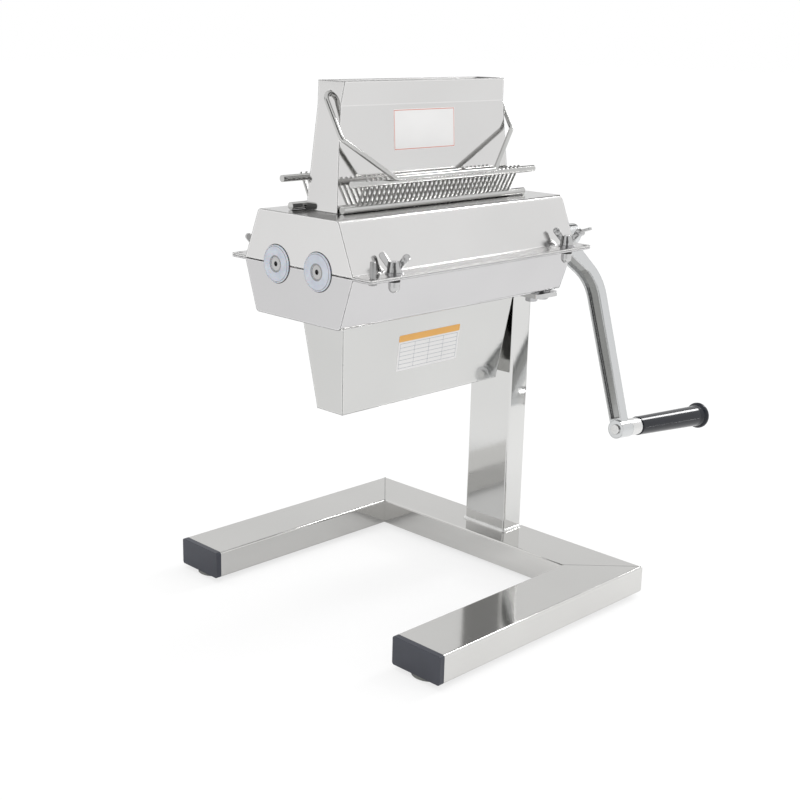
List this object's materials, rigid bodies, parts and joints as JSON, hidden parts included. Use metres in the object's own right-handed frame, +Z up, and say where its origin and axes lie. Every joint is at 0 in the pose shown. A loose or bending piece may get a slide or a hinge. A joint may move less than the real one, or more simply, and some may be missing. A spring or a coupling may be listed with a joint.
{
  "type": "hand cranked meat tenderizer",
  "caption": "Tabletop crank machine that pulls a slice of meat from a narrow hopper between two toothed blade rollers and drops it through a chute over a U shaped stand.",
  "frame": {"origin": "on the floor under the middle of the whole machine, crank grip included", "axes": "+X along the rollers towards the crank, +Y across the legs from the bail side to the rear, +Z up"},
  "size_m": [0.4432, 0.32, 0.44],
  "materials": {
    "polished_sheet": "mirror polished stainless sheet and tube",
    "weld_bead": "bright weld, cleaned",
    "bright_fittings": "plain stainless fasteners",
    "nut_metal": "pressed stainless wing nuts",
    "cap_plastic": "moulded, slight sheen",
    "foot_rubber": "matt grey rubber",
    "dark_fittings": "dull steel",
    "white_plastic": "turned white plastic",
    "wire": "polished stainless wire and rod",
    "roller_steel": "turned steel",
    "blade_steel": "ground blade steel",
    "gear_steel": "cut teeth, satin",
    "crank_metal": "bright cast arm, smooth",
    "grip_plastic": "glossy black"
  },
  "bodies": {
    "stand": {"front_leg": "polished_sheet", "rear_leg": "polished_sheet", "crossbar": "polished_sheet", "front_leg_cap": "cap_plastic", "rear_leg_cap": "cap_plastic", "foot_front_left": "foot_rubber", "foot_front_right": "foot_rubber", "foot_rear_left": "foot_rubber", "foot_rear_right": "foot_rubber", "foot_screws": "dark_fittings", "post": "polished_sheet", "post_weld": "weld_bead", "post_plate": "bright_fittings", "head_spacers": "bright_fittings", "head_bolts": "bright_fittings", "head_nuts": "bright_fittings", "lower_shell": "polished_sheet", "discharge_chute": "polished_sheet", "bush_front_left": "white_plastic", "bush_rear_left": "white_plastic", "bush_front_right": "white_plastic", "bush_rear_right": "white_plastic", "front_locating_pin": "bright_fittings", "rear_locating_pin": "bright_fittings", "clamp_studs": "bright_fittings", "stud_rings": "dark_fittings", "stud_caps": "bright_fittings"},
    "upper_housing": {"upper_shell": "polished_sheet", "feed_hopper": "polished_sheet", "front_comb": "wire", "rear_comb": "wire", "clamp_washers": "bright_fittings"},
    "nut_front_left": {"wing_nut_front_left": "nut_metal"},
    "nut_front_right": {"wing_nut_front_right": "nut_metal"},
    "nut_rear_left": {"wing_nut_rear_left": "nut_metal"},
    "nut_rear_right": {"wing_nut_rear_right": "nut_metal"},
    "hold_down": {"bail": "wire"},
    "drive": {"drive_shaft": "roller_steel", "drive_blades": "blade_steel", "drive_spacers": "roller_steel", "drive_gear": "gear_steel", "drive_stack_nut": "roller_steel", "crank_arm": "crank_metal", "crank_sleeve": "bright_fittings", "crank_washer": "bright_fittings", "grip_spindle": "crank_metal"},
    "driven": {"driven_shaft": "roller_steel", "driven_blades": "blade_steel", "driven_spacers": "roller_steel", "driven_gear": "gear_steel", "driven_stack_nut": "roller_steel"},
    "crank_nut": {"crank_wing_nut": "nut_metal"},
    "grip": {"crank_grip": "grip_plastic"}
  },
  "joints": [
    {"name": "drive_turn", "type": "hinge", "parent": "stand", "child": "drive", "pos_m": [0, -0.024, 0.2998], "axis": [1, 0, 0], "continuous": true},
    {"name": "driven_turn", "type": "hinge", "parent": "stand", "child": "driven", "pos_m": [0, 0.024, 0.2998], "axis": [1, 0, 0], "continuous": true},
    {"name": "grip_spin", "type": "hinge", "parent": "drive", "child": "grip", "pos_m": [0.09352, -0.09173, 0.12872], "axis": [0.9962, -0.0321, -0.081], "continuous": true},
    {"name": "crank_nut_turn", "type": "hinge", "parent": "drive", "child": "crank_nut", "pos_m": [0.09402, -0.024, 0.2998], "axis": [1, 0, 0], "continuous": true},
    {"name": "upper_lift", "type": "slide", "parent": "stand", "child": "upper_housing", "axis": [0, 0, 1], "range_m": [0, 0.08]},
    {"name": "bail_swing", "type": "hinge", "parent": "upper_housing", "child": "hold_down", "pos_m": [-0.09348, 0, 0.4305], "axis": [-1, 0, 0], "range_deg": [0, 298]},
    {"name": "nut_front_left_turn", "type": "hinge", "parent": "upper_housing", "child": "nut_front_left", "pos_m": [-0.18499, -0.071, 0.2998], "axis": [0, 0, 1], "continuous": true},
    {"name": "nut_front_right_turn", "type": "hinge", "parent": "upper_housing", "child": "nut_front_right", "pos_m": [0.02482, -0.071, 0.2998], "axis": [0, 0, 1], "continuous": true},
    {"name": "nut_rear_left_turn", "type": "hinge", "parent": "upper_housing", "child": "nut_rear_left", "pos_m": [-0.19878, 0.071, 0.2998], "axis": [0, 0, 1], "continuous": true},
    {"name": "nut_rear_right_turn", "type": "hinge", "parent": "upper_housing", "child": "nut_rear_right", "pos_m": [0.01102, 0.071, 0.2998], "axis": [0, 0, 1], "continuous": true}
  ],
  "couplings": [
    {"joint": "driven_turn", "follows": "drive_turn", "ratio": -1}
  ]
}
